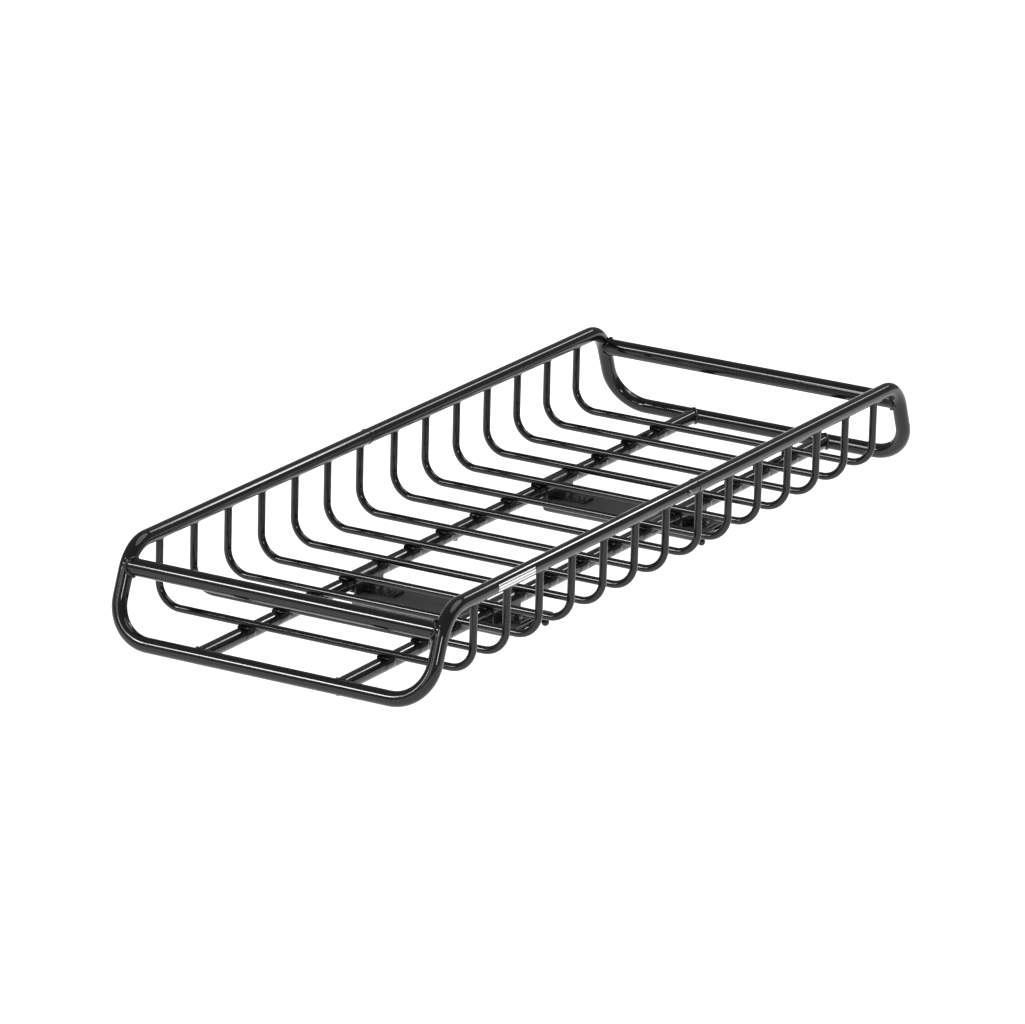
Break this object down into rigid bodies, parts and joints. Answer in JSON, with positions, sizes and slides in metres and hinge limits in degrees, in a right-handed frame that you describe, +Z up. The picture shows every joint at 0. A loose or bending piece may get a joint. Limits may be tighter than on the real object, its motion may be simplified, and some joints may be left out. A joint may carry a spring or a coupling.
{
  "type": "roof cargo basket",
  "caption": "Long two-piece steel roof basket: bent-tube rails, U-shaped floor rods, wind bars at both ends, floor tubes clamped by saddles to flat bars.",
  "frame": {"origin": "centre of the footprint, on the undersides of the two crossbars", "axes": "+X along the basket towards its rear end, +Y to its left side, +Z up"},
  "size_m": [1.603, 0.6098, 0.1916],
  "materials": {
    "frame": "gloss black powder coat",
    "wind_bar": "gloss black powder coat",
    "rod": "gloss black powder coat",
    "spine": "gloss black powder coat",
    "crossbar": "satin black powder coat",
    "saddle": "gloss black powder coat",
    "keeper": "satin black",
    "fastener": "black zinc plated",
    "bolt": "black zinc plated",
    "knob": "gloss black",
    "cap": "matt black",
    "cushion": "matt black rubber"
  },
  "bodies": {
    "basket": {"front_crossbar": "crossbar", "front_frame_tube": "frame", "front_left_bolt_far": "bolt", "front_left_bolt_near": "bolt", "front_left_cap": "cap", "front_left_cushion": "cushion", "front_left_saddle": "saddle", "front_left_spine": "spine", "front_right_bolt_far": "bolt", "front_right_bolt_near": "bolt", "front_right_cap": "cap", "front_right_cushion": "cushion", "front_right_saddle": "saddle", "front_right_spine": "spine", "front_wind_bar": "wind_bar", "rail_screw_left": "fastener", "rail_screw_right": "fastener", "rear_crossbar": "crossbar", "rear_frame_tube": "frame", "rear_left_bolt_far": "bolt", "rear_left_bolt_near": "bolt", "rear_left_cap": "cap", "rear_left_cushion": "cushion", "rear_left_saddle": "saddle", "rear_left_spine": "spine", "rear_right_bolt_far": "bolt", "rear_right_bolt_near": "bolt", "rear_right_cap": "cap", "rear_right_cushion": "cushion", "rear_right_saddle": "saddle", "rear_right_spine": "spine", "rear_wind_bar": "wind_bar", "rod_01": "rod", "rod_02": "rod", "rod_03": "rod", "rod_04": "rod", "rod_05": "rod", "rod_06": "rod", "rod_07": "rod", "rod_08": "rod", "rod_09": "rod", "rod_10": "rod", "rod_11": "rod", "rod_12": "rod", "rod_13": "rod", "rod_14": "rod", "spine_screw_left": "fastener", "spine_screw_right": "fastener"},
    "front_right_keeper_plate": {"front_right_keeper": "keeper"},
    "front_right_knob_screw": {"front_right_knob": "knob"},
    "rear_right_keeper_plate": {"rear_right_keeper": "keeper"},
    "rear_right_knob_screw": {"rear_right_knob": "knob"}
  },
  "joints": [
    {"name": "front_right_keeper_slide", "type": "slide", "parent": "basket", "child": "front_right_keeper_plate", "axis": [0, 0, -1], "range_m": [0, 0.008]},
    {"name": "front_right_knob_turn", "type": "hinge", "parent": "front_right_keeper_plate", "child": "front_right_knob_screw", "pos_m": [-0.2498, -0.184, 0.01], "axis": [0, 0, -1], "range_deg": [0, 2880]},
    {"name": "rear_right_keeper_slide", "type": "slide", "parent": "basket", "child": "rear_right_keeper_plate", "axis": [0, 0, -1], "range_m": [0, 0.008]},
    {"name": "rear_right_knob_turn", "type": "hinge", "parent": "rear_right_keeper_plate", "child": "rear_right_knob_screw", "pos_m": [0.2598, -0.184, 0.01], "axis": [0, 0, -1], "range_deg": [0, 2880]}
  ],
  "couplings": [
    {"joint": "front_right_knob_turn", "follows": "front_right_keeper_slide", "rad_per_m": 6283.2},
    {"joint": "rear_right_knob_turn", "follows": "rear_right_keeper_slide", "rad_per_m": 6283.2}
  ]
}
